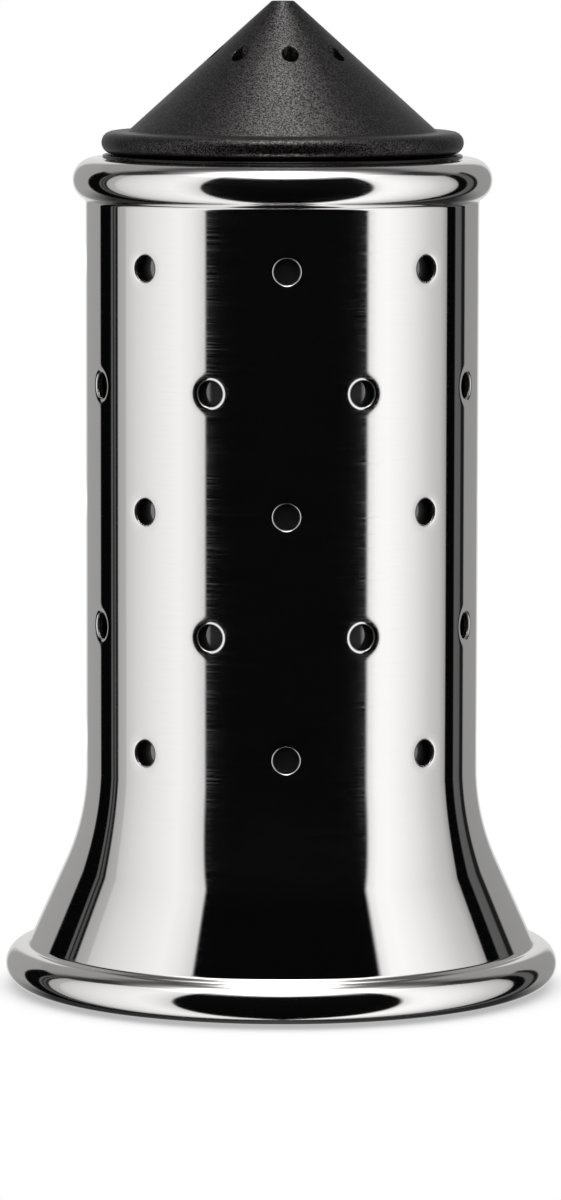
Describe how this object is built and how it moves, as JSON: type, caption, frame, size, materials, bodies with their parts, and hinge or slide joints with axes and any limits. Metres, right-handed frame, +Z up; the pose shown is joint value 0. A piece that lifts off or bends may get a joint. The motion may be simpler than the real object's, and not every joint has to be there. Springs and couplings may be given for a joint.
{
  "type": "salt shaker",
  "caption": "Table salt shaker: a perforated, flared tube of polished steel round a black plastic container, with a conical black sprinkler cap that unscrews.",
  "frame": {"origin": "middle of the face that the shaker stands on", "axes": "+Z up along the axis that the cap turns on, -Y towards the viewer of the picture"},
  "size_m": [0.073, 0.073, 0.13],
  "materials": {
    "polished_steel": "mirror-polished stainless steel",
    "gloss_black_plastic": "glossy",
    "matt_black_plastic": "fine matt grain",
    "base_black_plastic": "satin",
    "seal_rubber": "smooth",
    "foot_rubber": "matt",
    "screw_steel": "plain machined"
  },
  "bodies": {
    "shaker": {"steel_body": "polished_steel", "salt_container": "gloss_black_plastic", "base_cover": "base_black_plastic", "base_screw": "screw_steel", "foot_ring": "foot_rubber"},
    "seal": {"cap_seal": "seal_rubber"},
    "cap": {"sprinkler_cap": "matt_black_plastic"}
  },
  "joints": [
    {"name": "cap_rise", "type": "slide", "parent": "shaker", "child": "seal", "axis": [0, 0, 1], "range_m": [0, 0.00584]},
    {"name": "cap_turn", "type": "hinge", "parent": "seal", "child": "cap", "pos_m": [0, 0, 0.11], "axis": [0, 0, 1], "range_deg": [0, 700]}
  ],
  "couplings": [
    {"joint": "cap_rise", "follows": "cap_turn", "m_per_rad": 0.00047746}
  ]
}
